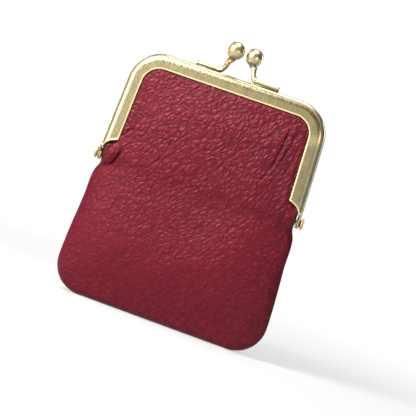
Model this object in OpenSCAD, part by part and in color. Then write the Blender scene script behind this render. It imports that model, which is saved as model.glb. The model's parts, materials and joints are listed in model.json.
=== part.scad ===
// Kiss-lock coin purse: a soft leather pouch held in a hinged metal frame.
// The purse stands upright: +Z is up, the front faces -Y, and the origin is at
// the middle of the pouch's base.  The frame is shut in this pose.

/* [Frame] */
// Outer width of the frame across its top corners
frame_w = 82.5; // [76:0.5:86]
// Drop from the top of the frame to the hinge axis
frame_drop = 46; // [42:0.5:50]
// Outer radius of the two top corners
frame_corner_r = 13.5; // [9:0.5:14]
// Outward lean of each leg, in degrees
leg_flare = 2.6; // [1.5:0.1:2.8]
// Width of the frame's flange, from its outer edge
flange_w = 5.7; // [5:0.1:6.5]
// Thickness of one frame half, front to back
channel_d = 4.3; // [4.2:0.1:5]
// Thickness of the frame's sheet metal
sheet_t = 0.6; // [0.5:0.05:0.7]
// Radius of the rounded outer shoulder
shoulder_r = 2; // [1.4:0.1:2.2]
// Space between the two frame halves when shut
shut_gap = 0.2; // [0.1:0.05:0.4]

/* [Hinge] */
// Radius of the round end of each hinge ear
ear_r = 2.3; // [2:0.1:2.4]
// Radius of the rivet's shank
rivet_r = 0.8; // [0.6:0.05:1]
// Radial running clearance of the rivet in the ears
rivet_play = 0.05; // [0.03:0.01:0.1]
// Radius of the rivet's outer head
rivet_head_r = 2.2; // [1.8:0.1:2.3]
// Radius of the rivet's clenched inner end
rivet_tail_r = 1.2; // [1:0.1:1.3]

/* [Clasp] */
// Diameter of each clasp ball
ball_d = 7.2; // [6:0.1:7.2]
// Distance between the two balls, centre to centre along the frame
ball_pitch = 7.45; // [7.45:0.05:8]
// Height of the ball centres above the frame
ball_rise = 10.3; // [9:0.1:12]
// How far each ball crosses over the middle plane
ball_cross = 1.5; // [0.5:0.1:2]
// Diameter of the clasp arms' round stems
stem_d = 2.1; // [1.8:0.1:2.4]
// Length of the foot of each clasp arm
foot_l = 9; // [7:0.5:11]
// Width of the foot, front to back
foot_w = 2.6; // [2:0.1:3]
// Height of the foot
foot_h = 2; // [1.6:0.1:2.4]

/* [Pouch] */
// Height of the frame's top above the base
frame_top_z = 102.5; // [98:0.5:106]
// Greatest width of the pouch
pouch_w = 89; // [86:0.5:90]
// Width of the pouch just under the hinges
neck_w = 82; // [81:0.5:82.5]
// Radius of the pouch's two lower corners
pouch_corner_r = 12.5; // [10:0.5:16]
// Thickness of the pouch at its fullest
belly_t = 15; // [13:0.5:17]
// Thickness of the pouch at the hinge line
neck_t = 10; // [9.6:0.1:10.4]
// Thickness of the pouch at its flat base
base_t = 7; // [6:0.5:8]
// Thickness of the leather
leather_t = 1.1; // [0.9:0.1:1.2]
// Thickness of the lining cloth
lining_t = 0.3; // [0.2:0.05:0.3]

/* [Hidden] */
$fn = 48;

brass = [0.62, 0.54, 0.35];
burgundy = [0.47, 0.1, 0.17];
lining_cloth = [0.3, 0.12, 0.15];
paper = [0.8, 0.72, 0.58];
thread = [0.42, 0.09, 0.15];

// Levels
hinge_z = frame_top_z - frame_drop;
corner_x = frame_w / 2 - frame_corner_r;
corner_z = frame_top_z - frame_corner_r;
corner_steps = 10;
leg_top_x = corner_x + frame_corner_r * cos(leg_flare);
leg_top_z = corner_z + frame_corner_r * sin(leg_flare);
half_gap = shut_gap / 2;

// Outer half width of the frame at a height on its legs
function frame_x(z) = leg_top_x + (leg_top_z - z) * tan(leg_flare);

// Heights on the legs, above the hinge axis
flange_end = 7.6;
leg_end = ear_r + 0.4;
trim_r = 3.2;
leg_end_x = frame_x(hinge_z + leg_end);

// Hinge layers across X: the front half's ears lie outside the back half's
layer_gap = 0.1;
outer_ear_x = frame_x(hinge_z) - sheet_t;
inner_ear_x = outer_ear_x - layer_gap - sheet_t;
ear_bore_r = rivet_r + rivet_play;
head_stand = 0.6;
head_t = 1.3;
tail_t = 0.4;
spacer_r = 1.4;

// Soft parts
tuck = 1.9;             // edge of the leather, in from the frame's outer edge
upper_low_z = hinge_z + 1.3;
lower_top_z = hinge_z - 3.2;
widest_z = 13;
belly_z = 25;
seam_y = 0.02;          // each panel stops this far from the seam plane
seam_edge = 0.3;        // thickness of a panel at its sewn edge
skin_gap = 0.05;
leather_face = channel_d + half_gap - sheet_t - skin_gap;
lining_inset = leather_t + 0.65;
lining_margin = 2.8;
cord_r = 0.7;
cord_in = 2.6;          // centre of the paper cord, in from the frame's outer edge
stitch_pitch = 3;
stitch_r = 0.25;

function smooth(t) = let(c = min(1, max(0, t))) c * c * (3 - 2 * c);
function steps(n) = [for (i = [0:n]) i / n];
function signed_steps(n) = [for (i = [-n:n]) sign(i) * (1 - pow(1 - abs(i) / n, 1.6))];

// ---------------------------------------------------------------- frame

// Points of an arc about [cx, cy]
function arc(cx, cy, r, a0, a1, n = 6) =
    [for (i = [0:n]) let(a = a0 + (a1 - a0) * i / n) [cx + r * cos(a), cy + r * sin(a)]];

// Section of a frame half: X is outward from the frame's outer edge, Y is depth.
// The channel opens inward, and its outer shoulder is rounded.
function channel_section() =
    let(front = -channel_d - half_gap, back = -half_gap, back_r = sheet_t)
    concat(
        [[-flange_w, front]],
        arc(-shoulder_r, front + shoulder_r, shoulder_r, 270, 360),
        arc(-back_r, back - back_r, back_r, 0, 90, 3),
        [[1 - flange_w, back], [1 - flange_w, back - sheet_t],
         [-back_r, back - sheet_t], [-sheet_t, back - back_r - 0.1]],
        arc(-shoulder_r, front + shoulder_r, shoulder_r - sheet_t, 360, 270),
        [[-flange_w, front + sheet_t]]
    );

// Stations along the frame's outer edge: X, Z and the angle of the outward way
function half_outline(end_z) = concat(
    [[frame_x(end_z), end_z, leg_flare]],
    [for (i = [0:corner_steps]) let(a = leg_flare + (90 - leg_flare) * i / corner_steps)
        [corner_x + frame_corner_r * cos(a), corner_z + frame_corner_r * sin(a), a]]
);
function outline(end_z) = let(half = half_outline(end_z), n = len(half) - 1) concat(
    half,
    [for (i = [0:n]) [-half[n - i][0], half[n - i][1], 180 - half[n - i][2]]]
);

// Sweeps a section round the frame's outer edge, from one leg's end to the other's
module around_frame(end_z, section) {
    stations = outline(end_z);
    n = len(section);
    last = len(stations) - 1;
    points = [for (s = stations, p = section)
        [s[0] + p[0] * cos(s[2]), p[1], s[1] + p[0] * sin(s[2])]];
    sides = [for (i = [0:last - 1], k = [0:n - 1]) let(
        a = i * n + k,
        b = i * n + (k + 1) % n
    ) each [[a, b + n, b], [a, a + n, b + n]]];
    caps = [[for (k = [0:n - 1]) k], [for (k = [0:n - 1]) last * n + n - 1 - k]];
    polyhedron(points, concat(sides, caps));
}

// Hollow curve that trims the lower end of a leg down to its outer wall
module leg_trim() {
    curve_z = flange_end - trim_r;
    translate([-sheet_t - trim_r, 0, curve_z]) rotate([90, 0, 0])
        cylinder(r = trim_r, h = 20, center = true);
    translate([-20 - sheet_t - trim_r, -10, -1]) cube([20, 20, flange_end + 1]);
    translate([-20 - sheet_t, -10, -1]) cube([20, 20, curve_z + 1]);
}

// Flat hinge ear in the plane across X, with its neck reaching up to the leg
module ear(x) {
    neck = 4.6;
    translate([x, 0, hinge_z]) rotate([90, 0, 90]) linear_extrude(sheet_t) {
        circle(ear_r);
        polygon([[-ear_r, 0], [-channel_d + 0.6, leg_end + 0.3], [-channel_d + 0.9, neck],
                 [-0.6, neck], [-0.6, leg_end], [0, ear_r - 0.1], [0, 0]]);
    }
}

// One frame half, drawn as the front one.  ear_x is where its ears lie.
module frame_half(ear_x, joggle) {
    difference() {
        union() {
            difference() {
                around_frame(hinge_z + leg_end, channel_section());
                for (side = [0, 1]) mirror([side, 0, 0])
                    translate([frame_x(hinge_z), 0, hinge_z]) leg_trim();
            }
            for (side = [0, 1]) mirror([side, 0, 0]) {
                ear(ear_x);
                if (joggle) {
                    translate([ear_x, -channel_d + 0.9, hinge_z + leg_end + 0.5])
                        cube([leg_end_x - ear_x - 0.15, channel_d - 1.5, 1.4]);
                }
            }
        }
        translate([0, 0, hinge_z]) rotate([0, 90, 0])
            cylinder(r = ear_bore_r, h = 2 * frame_w, center = true);
    }
}

module front_frame() {
    color(brass) frame_half(outer_ear_x, false);
}

module back_frame() {
    color(brass) mirror([0, 1, 0]) frame_half(inner_ear_x, true);
}

// ---------------------------------------------------------------- hinge rivets

module right_hinge_rivet() {
    tail_x = inner_ear_x - skin_gap - tail_t;
    head_x = outer_ear_x + sheet_t + skin_gap + head_stand;
    color(brass) translate([0, 0, hinge_z]) rotate([0, 90, 0]) {
        translate([0, 0, tail_x]) cylinder(r1 = rivet_tail_r - 0.4, r2 = rivet_tail_r, h = tail_t);
        translate([0, 0, tail_x]) cylinder(r = rivet_r, h = head_x + head_t / 2 - tail_x);
        translate([0, 0, head_x - head_stand]) cylinder(r = spacer_r, h = head_stand + 0.1);
        translate([0, 0, head_x]) cylinder(r = rivet_head_r, h = head_t / 2);
        translate([0, 0, head_x + head_t / 2])
            cylinder(r1 = rivet_head_r, r2 = rivet_head_r * 0.6, h = head_t / 2);
    }
}

module left_hinge_rivet() {
    mirror([1, 0, 0]) right_hinge_rivet();
}

// ---------------------------------------------------------------- clasp

foot_x = ball_pitch / 2 + 4.7;
foot_y = -1.75;
ball_centre = [ball_pitch / 2, ball_cross, ball_rise];
stem_start = [foot_x + 1, foot_y, foot_h / 2];
stem_turn = [ball_centre[0] + 0.6, foot_y, foot_h / 2];
stem_lift = [ball_centre[0] + 0.9, 0, ball_rise * 0.45];

// Cubic curve through four control points, and its direction
function bezier(p, t) =
    p[0] * pow(1 - t, 3) + p[1] * 3 * t * pow(1 - t, 2) + p[2] * 3 * t * t * (1 - t) + p[3] * pow(t, 3);
function bezier_way(p, t) =
    (p[1] - p[0]) * pow(1 - t, 2) + (p[2] - p[1]) * 2 * t * (1 - t) + (p[3] - p[2]) * t * t;

function unit(v) = v / norm(v);

// Round bar swept along a cubic curve, as rings of points round the curve
module curved_bar(p, d, last = 1, rings = 16, sides = 14) {
    points = [for (i = [0:rings]) let(
        t = last * i / rings,
        way = unit(bezier_way(p, t)),
        across = unit(cross(way, [0, 1, 0])),
        over = cross(across, way)
    ) for (k = [0:sides - 1]) let(a = 360 * k / sides)
        bezier(p, t) + (across * cos(a) + over * sin(a)) * d / 2];
    faces = concat(
        [[for (k = [0:sides - 1]) sides - 1 - k]],
        [[for (k = [0:sides - 1]) rings * sides + k]],
        [for (i = [0:rings - 1], k = [0:sides - 1]) let(
            a = i * sides + k,
            b = i * sides + (k + 1) % sides
        ) [a, b, b + sides, a + sides]]
    );
    polyhedron(points, faces);
}

// Foot with a half-round top, lying along X on the frame
module foot() {
    low = foot_h - foot_w / 2;
    translate([foot_x, foot_y, 0]) rotate([90, 0, 90])
        linear_extrude(foot_l)
            polygon(concat([[foot_w / 2, 0]], arc(0, low, foot_w / 2, 0, 180, 12),
                           [[-foot_w / 2, 0]]));
}

module front_clasp_arm() {
    color(brass) translate([0, 0, frame_top_z]) {
        foot();
        difference() {
            curved_bar([stem_start, stem_turn, stem_lift, ball_centre], stem_d);
            translate(ball_centre) sphere(d = ball_d);
        }
    }
}

module front_clasp_ball() {
    color(brass) translate([0, 0, frame_top_z]) translate(ball_centre) sphere(d = ball_d);
}

module back_clasp_arm() {
    rotate([0, 0, 180]) front_clasp_arm();
}

module back_clasp_ball() {
    rotate([0, 0, 180]) front_clasp_ball();
}

// ---------------------------------------------------------------- soft panels

// Half width of the pouch below the hinges, and half its thickness at mid-width
function pouch_x(z) =
    pouch_w / 2 - (pouch_w - neck_w) / 2 * pow(max(0, (z - widest_z) / (lower_top_z - widest_z)), 1.6);
function pouch_depth(z) = z < belly_z
    ? base_t / 2 + (belly_t - base_t) / 2 * sin(90 * max(0, z) / belly_z)
    : belly_t / 2 + (neck_t - belly_t) / 2 * smooth((z - belly_z) / (hinge_z - belly_z));
function across(s) = pow(max(0, 1 - pow(abs(s), 2.6)), 0.6);

// Rise of a rounded corner at share s of the half width w
function corner_rise(s, w, r) =
    let(d = (1 - abs(s)) * w) d >= r ? 0 : r - sqrt(max(0, r * r - (r - d) * (r - d)));

// Closed solid from columns of points.  Each column is a closed ring of the same
// length: first its outer points upward, then its inner points downward.
module lofted_panel(columns) {
    n = len(columns[0]);
    last = len(columns) - 1;
    half = n / 2;
    points = [for (c = columns) for (p = c) p];
    sides = [for (i = [0:last - 1], k = [0:n - 1]) let(
        a = i * n + k,
        b = i * n + (k + 1) % n
    ) each [[a, b, b + n], [a, b + n, a + n]]];
    cap = [for (k = [0:half - 2]) each [[k, n - 1 - k, n - 2 - k], [k, n - 2 - k, k + 1]]];
    far_cap = [for (f = cap) [for (k = [2, 1, 0]) f[k] + last * n]];
    polyhedron(points, concat(sides, cap, far_cap));
}

// Front panel of the lower pouch.  margin insets its outline, depth_cut its face.
module lower_panel(t, margin, depth_cut, floor_z) {
    columns = [for (s = signed_steps(11)) let(
        rise = corner_rise(s, pouch_w / 2 - margin, pouch_corner_r - margin),
        low = floor_z + rise,
        outer = function (z) (pouch_depth(z) - depth_cut) * across(s) + seam_edge,
        inner = function (z) max(outer(z) - t, seam_y + 0.03),
        place = function (y, z) [s * (pouch_x(z) - margin), -y, z]
    ) concat(
        [place(seam_y, low)],
        [for (u = steps(14)) let(z = low + (lower_top_z - low) * pow(u, 1.4)) place(outer(z), z)],
        [for (u = steps(14)) let(z = lower_top_z - (lower_top_z - low - t) * (1 - pow(1 - u, 1.4)))
            place(inner(z), z)],
        [place(seam_y, low + t)]
    )];
    lofted_panel(columns);
}

// Depth of the upper leather's outer face, at share s across and height z
function upper_edge(s, z) = min((1 - abs(s)) * (frame_x(z) - tuck),
    frame_top_z - tuck - z - corner_rise(s, leg_top_x - tuck, frame_corner_r - tuck));
function upper_face(s, z) =
    let(full = neck_t / 2 + seam_edge - leather_face,
        rise = smooth((upper_edge(s, z) - flange_w + tuck) / 13),
        fade = 0.7 + 0.3 * smooth((frame_top_z - z) / frame_drop))
    leather_face + full * rise * fade;

// Front panel inside the frame, from the hinge line to the channel
module upper_panel(t, set_back) {
    columns = [for (s = signed_steps(11)) let(
        top = frame_top_z - tuck - corner_rise(s, leg_top_x - tuck, frame_corner_r - tuck),
        place = function (y, z) [s * (frame_x(z) - tuck), y, z]
    ) concat(
        [for (u = steps(12)) let(z = upper_low_z + (top - upper_low_z) * u)
            place(-upper_face(s, z) + set_back, z)],
        [for (u = steps(12)) let(z = top - (top - upper_low_z) * u)
            place(-upper_face(s, z) + set_back + t, z)]
    )];
    lofted_panel(columns);
}

// Strip of leather that bends when the frame opens, between the two panels
module fold_strip() {
    gap = 0.02;
    columns = [for (s = signed_steps(11)) let(
        low = [s * pouch_x(lower_top_z), pouch_depth(lower_top_z) * across(s) + seam_edge],
        high = [s * (frame_x(upper_low_z) - tuck), upper_face(s, upper_low_z)],
        low_in = max(low[1] - leather_t, seam_y + 0.03),
        z0 = lower_top_z + gap,
        z1 = upper_low_z - gap
    ) concat(
        [for (u = steps(3)) [low[0] + (high[0] - low[0]) * u,
                             -low[1] - (high[1] - low[1]) * smooth(u), z0 + (z1 - z0) * u]],
        [for (v = steps(3)) let(u = 1 - v) [low[0] + (high[0] - low[0]) * u,
                             -low_in - (high[1] - leather_t - low_in) * smooth(u), z0 + (z1 - z0) * u]]
    )];
    lofted_panel(columns);
}

module front_leather_upper() {
    color(burgundy) upper_panel(leather_t, 0);
}

module back_leather_upper() {
    mirror([0, 1, 0]) front_leather_upper();
}

module front_leather_fold() {
    color(burgundy) fold_strip();
}

module back_leather_fold() {
    mirror([0, 1, 0]) front_leather_fold();
}

// The base is cut flat, so that the purse stands
module front_leather_lower() {
    color(burgundy) difference() {
        lower_panel(leather_t, 0, 0, -0.2);
        translate([-pouch_w, -pouch_w, -2]) cube([2 * pouch_w, 2 * pouch_w, 2]);
    }
}

module back_leather_lower() {
    mirror([0, 1, 0]) front_leather_lower();
}

module front_lining_upper() {
    color(lining_cloth) upper_panel(lining_t, leather_t + skin_gap);
}

module back_lining_upper() {
    mirror([0, 1, 0]) front_lining_upper();
}

module front_lining_lower() {
    color(lining_cloth)
        lower_panel(lining_t, lining_margin, lining_inset, leather_t + skin_gap);
}

module back_lining_lower() {
    mirror([0, 1, 0]) front_lining_lower();
}

// ---------------------------------------------------------------- cords and threads

// Twisted paper cord that wedges the leather and lining in the frame's channel
module front_paper_cord() {
    color(paper) around_frame(hinge_z + flange_end + 0.6,
        arc(-cord_in, -half_gap - sheet_t - skin_gap - cord_r, cord_r, 0, 324, 9));
}

module back_paper_cord() {
    mirror([0, 1, 0]) front_paper_cord();
}

// Stitches through both panels, along the sides and base of the sewn outline
module seam_stitches(margin, floor_z, r, reach) {
    w = pouch_w / 2 - margin;
    corner = pouch_corner_r;
    side_n = floor((lower_top_z - 2 - corner) / stitch_pitch);
    base_n = floor((w - corner) / stitch_pitch);
    arc_n = floor(PI / 2 * corner / stitch_pitch);
    for (side = [0, 1]) mirror([side, 0, 0]) {
        for (i = [1:side_n]) let(z = corner + i * stitch_pitch)
            stitch([pouch_x(z) - margin, z], r, reach);
        for (i = [0:arc_n]) let(a = -90 * i / arc_n)
            stitch([w - corner + corner * cos(a), floor_z + corner + corner * sin(a)], r, reach);
        for (i = [1:base_n]) stitch([w - corner - i * stitch_pitch, floor_z], r, reach);
    }
}

module stitch(at, r, reach) {
    translate([at[0], 0, at[1]]) rotate([90, 0, 0])
        cylinder(r = r, h = 2 * reach, center = true, $fn = 16);
}

module leather_seam_thread() {
    color(thread) seam_stitches(leather_t / 2, leather_t / 2, stitch_r, leather_t / 2);
}

module lining_seam_thread() {
    color(lining_cloth)
        seam_stitches(lining_margin + lining_t, leather_t + skin_gap + lining_t / 2, lining_t * 0.4, lining_t);
}

// ---------------------------------------------------------------- assembly

front_frame();
back_frame();
front_clasp_arm();
back_clasp_arm();
front_clasp_ball();
back_clasp_ball();
left_hinge_rivet();
right_hinge_rivet();
front_leather_upper();
back_leather_upper();
front_leather_fold();
back_leather_fold();
front_leather_lower();
back_leather_lower();
front_lining_upper();
back_lining_upper();
front_lining_lower();
back_lining_lower();
front_paper_cord();
back_paper_cord();
leather_seam_thread();
lining_seam_thread();
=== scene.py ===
"""Kiss-lock coin purse: pebbled leather pouch in a hinged antique brass frame."""
import json
import math

import bpy
import numpy as np
from mathutils import Matrix, Vector


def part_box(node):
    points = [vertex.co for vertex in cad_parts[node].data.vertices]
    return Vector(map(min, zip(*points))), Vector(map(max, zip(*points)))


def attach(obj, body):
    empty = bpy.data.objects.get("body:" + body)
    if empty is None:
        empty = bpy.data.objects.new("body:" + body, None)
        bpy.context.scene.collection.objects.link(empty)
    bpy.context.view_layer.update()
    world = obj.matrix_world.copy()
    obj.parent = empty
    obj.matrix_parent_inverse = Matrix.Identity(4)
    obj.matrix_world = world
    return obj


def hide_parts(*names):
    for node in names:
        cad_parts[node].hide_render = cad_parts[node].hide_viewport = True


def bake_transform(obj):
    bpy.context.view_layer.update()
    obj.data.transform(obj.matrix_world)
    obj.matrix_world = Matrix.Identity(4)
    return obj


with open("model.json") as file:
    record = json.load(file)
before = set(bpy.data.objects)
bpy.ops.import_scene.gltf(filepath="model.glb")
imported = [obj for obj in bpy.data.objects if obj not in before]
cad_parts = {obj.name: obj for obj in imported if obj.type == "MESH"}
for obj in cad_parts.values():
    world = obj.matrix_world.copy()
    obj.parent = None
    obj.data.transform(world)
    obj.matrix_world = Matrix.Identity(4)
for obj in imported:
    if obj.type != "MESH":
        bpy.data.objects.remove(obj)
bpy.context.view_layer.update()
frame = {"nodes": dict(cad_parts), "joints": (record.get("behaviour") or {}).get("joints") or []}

MM = 0.001

# ------------------------------------------------------------------ places, in millimetres
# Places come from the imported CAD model's boxes and joint, and the frame's section and the
# pouch's curves repeat the CAD's own values. Lengths are in mm, and make_mesh() turns them
# into metres.


def corners(node):
    """Lowest and highest corner of a CAD node's box, in mm."""
    low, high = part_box(node)
    return np.array(low) / MM, np.array(high) / MM


frame_low, frame_high = corners("front_frame")
pouch_high = corners("front_leather_lower")[1]
ball_low, ball_high = corners("front_clasp_ball")
foot_low, foot_high = corners("front_clasp_arm")
rivet_low, rivet_high = corners("right_hinge_rivet")

HINGE_Z = frame["joints"][0]["pos_m"][2] / MM
TOP_Z = frame_high[2]
FRONT_Y = frame_low[1]                     # front face of the frame, which faces -Y
FLARE = math.radians(2.6)                  # lean of the frame's legs
CORNER_R = 13.5
EAR_X = frame_high[0]                      # outer face of the front ears
CORNER_Z = TOP_Z - CORNER_R
LEG_TOP_Z = CORNER_Z + CORNER_R * math.sin(FLARE)
CORNER_X = EAR_X - (LEG_TOP_Z - HINGE_Z) * math.tan(FLARE) - CORNER_R * math.cos(FLARE)
HALF_GAP = 0.1                             # from the middle plane to each frame half
SHEET = 0.6                                # sheet metal of the frame
FLANGE = 5.7                               # width of the front flange
BACK_FLANGE = 4.7                          # the flange at the mouth
SHOULDER_R = 2.2                           # depth of the rounded outer shoulder
SHOULDER_W = 3.0                           # how far it reaches over the flange
INNER_SHOULDER_R = 0.8                     # bend between the outer wall and the back flange
FLANGE_END = 7.6                           # the flange stops here, above the hinge axis
LEG_END = 2.9                              # the outer wall becomes the ear here
EAR_R = 2.3
EAR_GAP = 0.1                              # between the front and back ears
ARM_R = 1.08                               # radius of the clasp arm's round bar
POUCH_HALF = pouch_high[0]
NECK_HALF = 41.0                           # half width at NECK_Z, the lower panels' upper edge
NECK_Z = pouch_high[2]
POUCH_CORNER_R = 12.5
WIDEST_Z = 13.0
BELLY_Z = 25.0                             # the pouch is fullest here
BASE_DEPTH = 3.5                           # half thickness of the pouch, from base to hinges
BELLY_DEPTH = 7.6
HINGE_DEPTH = 5.2
TUCK_DEPTH = 3.72                          # middle plane to the leather under the flange
LEATHER = 1.1                              # thickness of the leather
LINING = 0.28                              # thickness of the lining
LINING_INSET = 1.6                         # the lining's edge, in from the leather's
BALL_R = (ball_high[0] - ball_low[0]) / 2
BALL = (ball_high + ball_low) / 2


def leg_x(z):
    """Outer edge of the frame's leg at height z."""
    return EAR_X - (z - HINGE_Z) * math.tan(FLARE)


def smooth(t):
    """Eased step from 0 to 1 as t goes from 0 to 1."""
    t = np.clip(t, 0, 1)
    return t * t * (3 - 2 * t)


def mix(a, b, t):
    """From a to b as t goes from 0 to 1."""
    return a + (b - a) * t


# ------------------------------------------------------------------ meshes

def make_mesh(name, points, faces, material):
    """New smooth object from points in mm."""
    mesh = bpy.data.meshes.new(name)
    mesh.from_pydata((np.asarray(points, float) * MM).tolist(), [], faces)
    mesh.validate()
    mesh.polygons.foreach_set("use_smooth", [True] * len(mesh.polygons))
    mesh.materials.append(material)
    mesh.update()
    piece = bpy.data.objects.new(name, mesh)
    bpy.context.scene.collection.objects.link(piece)
    return piece


def point_attribute(piece, name, values):
    """Store one number for each point, for the material to read."""
    attribute = piece.data.attributes.new(name, "FLOAT", "POINT")
    attribute.data.foreach_set("value", np.asarray(values, np.float32).ravel())


def vector_attribute(piece, name, values):
    """Store one vector for each point."""
    attribute = piece.data.attributes.new(name, "FLOAT_VECTOR", "POINT")
    attribute.data.foreach_set("vector", np.asarray(values, np.float32).ravel())


def places_of(piece):
    """Where a piece's points are, in mm."""
    return np.array([v.co for v in piece.data.vertices]) / MM


def join_parts(name, parts, material):
    """One object from (points, faces) parts, in mm."""
    points, faces, start = [], [], 0
    for part_points, part_faces in parts:
        points.extend(np.asarray(part_points, float).tolist())
        faces.extend([[i + start for i in f] for f in part_faces])
        start += len(part_points)
    return make_mesh(name, points, faces, material)


def ring_faces(rings, sides):
    """Faces of a closed tube made of rings of points, each with the same number of sides."""
    faces = []
    for i in range(rings - 1):
        for k in range(sides):
            a, b = i * sides + k, i * sides + (k + 1) % sides
            faces.append([a, b, b + sides, a + sides])
    faces.append(list(range(sides))[::-1])
    faces.append([(rings - 1) * sides + k for k in range(sides)])
    return faces


def lathe(profile, sides=48):
    """Points and faces of a turned form about X, from (x, radius) pairs."""
    points = [
        (x, r * math.cos(a), r * math.sin(a))
        for x, r in profile
        for a in (2 * math.pi * k / sides for k in range(sides))
    ]
    return points, ring_faces(len(profile), sides)


def bar_along(path, radius, sides=24):
    """Round bar along a list of points; radius is one number or one for each point."""
    path = np.asarray(path, float)
    radii = np.broadcast_to(radius, len(path))
    ways = np.gradient(path, axis=0)
    ways /= np.linalg.norm(ways, axis=1)[:, None]
    over = np.cross(ways[0], (0.0, 1.0, 0.0))
    points = []
    for centre, way, r in zip(path, ways, radii):
        over = over - way * np.dot(over, way)
        over /= np.linalg.norm(over)
        side = np.cross(way, over)
        for k in range(sides):
            a = 2 * math.pi * k / sides
            points.append(centre + r * (math.cos(a) * over + math.sin(a) * side))
    return points, ring_faces(len(path), sides)


def cubic(p, n):
    """n + 1 points of a cubic curve with four control points."""
    p = np.asarray(p, float)
    t = np.linspace(0, 1, n + 1)[:, None]
    return ((1 - t) ** 3 * p[0] + 3 * t * (1 - t) ** 2 * p[1]
            + 3 * t ** 2 * (1 - t) * p[2] + t ** 3 * p[3])


# ------------------------------------------------------------------ patterns

def lattice(ix, iz, seed):
    """Repeatable random numbers from 0 to 1 at whole-number places."""
    h = ix.astype(np.int64) * 374761393 + iz.astype(np.int64) * 668265263 + seed * 974711
    h = (h ^ (h >> 13)) * 1274126177 & 0x7FFFFFFF
    h = (h ^ (h >> 16)) & 0xFFFFFF
    return h / float(0xFFFFFF)


def value_noise(x, z, scale, seed):
    """Smooth noise from -1 to 1, with features about scale mm across."""
    u, v = x / scale, z / scale
    i, j = np.floor(u), np.floor(v)
    fu, fv = smooth(u - i), smooth(v - j)
    low = mix(lattice(i, j, seed), lattice(i + 1, j, seed), fu)
    high = mix(lattice(i, j + 1, seed), lattice(i + 1, j + 1, seed), fu)
    return 2 * mix(low, high, fv) - 1


def cells(x, z, long, short, angle, seed):
    """Distance to the nearest cell's middle, in cell widths. Cells are long x short mm, with
    their length at this angle in degrees."""
    a = math.radians(angle)
    u = (x * math.cos(a) + z * math.sin(a)) / long
    v = (z * math.cos(a) - x * math.sin(a)) / short
    i, j = np.floor(u), np.floor(v)
    nearest = np.full(u.shape, 9.0)
    for di in (-2, -1, 0, 1, 2):
        for dj in (-2, -1, 0, 1, 2):
            ci, cj = i + di, j + dj
            px = ci + 0.5 + 0.86 * (lattice(ci, cj, seed) - 0.5)
            pz = cj + 0.5 + 0.86 * (lattice(ci, cj, seed + 7) - 0.5)
            nearest = np.minimum(nearest, np.hypot(u - px, v - pz))
    return nearest


# ------------------------------------------------------------------ materials

def feed(tree, node, inputs):
    """Fill a node's inputs, by name or number: an output is linked, a value is set."""
    for key, value in inputs.items():
        if isinstance(value, bpy.types.NodeSocket):
            tree.links.new(value, node.inputs[key])
        else:
            node.inputs[key].default_value = value


def add(tree, kind, inputs=None, **settings):
    """New node with these settings and inputs."""
    node = tree.nodes.new(kind)
    for key, value in settings.items():
        setattr(node, key, value)
    feed(tree, node, inputs or {})
    return node


def attribute(tree, name, kind="Fac"):
    """Output that reads a mesh attribute, as a number or a vector."""
    return add(tree, "ShaderNodeAttribute", attribute_name=name).outputs[kind]


def object_place(tree, *scale):
    """Object coordinates, scaled on X, Y and Z."""
    place = add(tree, "ShaderNodeTexCoord").outputs["Object"]
    return add(tree, "ShaderNodeMapping", {"Vector": place, "Scale": scale}).outputs["Vector"]


def noise(tree, place, scale, detail, roughness=0.5):
    return add(tree, "ShaderNodeTexNoise", {
        "Vector": place, "Scale": scale, "Detail": detail, "Roughness": roughness}).outputs["Fac"]


def rescale(tree, value, ends, new_ends=(0.0, 1.0), **settings):
    """Value, moved from one range to another and kept inside it."""
    return add(tree, "ShaderNodeMapRange", {
        "Value": value, "From Min": ends[0], "From Max": ends[1],
        "To Min": new_ends[0], "To Max": new_ends[1]}, **settings).outputs["Result"]


def times_plus(tree, value, factor, extra, **settings):
    """value * factor + extra"""
    return add(tree, "ShaderNodeMath", {0: value, 1: factor, 2: extra},
               operation="MULTIPLY_ADD", **settings).outputs["Value"]


def mixed(tree, share, a, b, blend="MIX"):
    """Colour a, changed by this share of colour b."""
    return add(tree, "ShaderNodeMix", {"Factor": share, "A": a, "B": b},
               data_type="RGBA", blend_type=blend).outputs["Result"]


def ramp(tree, source, stops):
    """Colour ramp: stops are (place, colour or grey)."""
    node = add(tree, "ShaderNodeValToRGB", {"Fac": source})
    elements = node.color_ramp.elements
    while len(elements) < len(stops):
        elements.new(0.5)
    for element, (place, colour) in zip(elements, stops):
        element.position = place
        element.color = (*np.broadcast_to(colour, 3), 1.0)
    return node.outputs["Color"]


def bump(tree, height, strength, distance, under=None):
    """Normal of a surface raised by height; distance is in mm, and under is a finer bump."""
    inputs = {"Height": height, "Strength": strength, "Distance": distance * MM}
    if under is not None:
        inputs["Normal"] = under
    return add(tree, "ShaderNodeBump", inputs).outputs["Normal"]


def new_material(name):
    """A material, its node tree and its surface node."""
    material = bpy.data.materials.new(name)
    material.use_nodes = True
    return material, material.node_tree, material.node_tree.nodes["Principled BSDF"]


def pebble_nodes(tree, place):
    """Output that is 0 in the leather's creases and 1 on its pebbles. The node tree may be a
    material's or a mesh's, so both show the same pebbles."""
    height = 0.0
    for scale, crease, weight in ((1.0, 0.30, 0.60), (0.46, 0.12, 0.30), (2.3, 0.35, 0.10)):
        cell = add(tree, "ShaderNodeTexVoronoi", {"Vector": place, "Scale": scale,
                                                  "Randomness": 0.85}, feature="DISTANCE_TO_EDGE")
        top = rescale(tree, cell.outputs["Distance"], (0.0, crease),
                      interpolation_type="SMOOTHERSTEP")
        height = times_plus(tree, top, weight, height)
    return height


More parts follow.
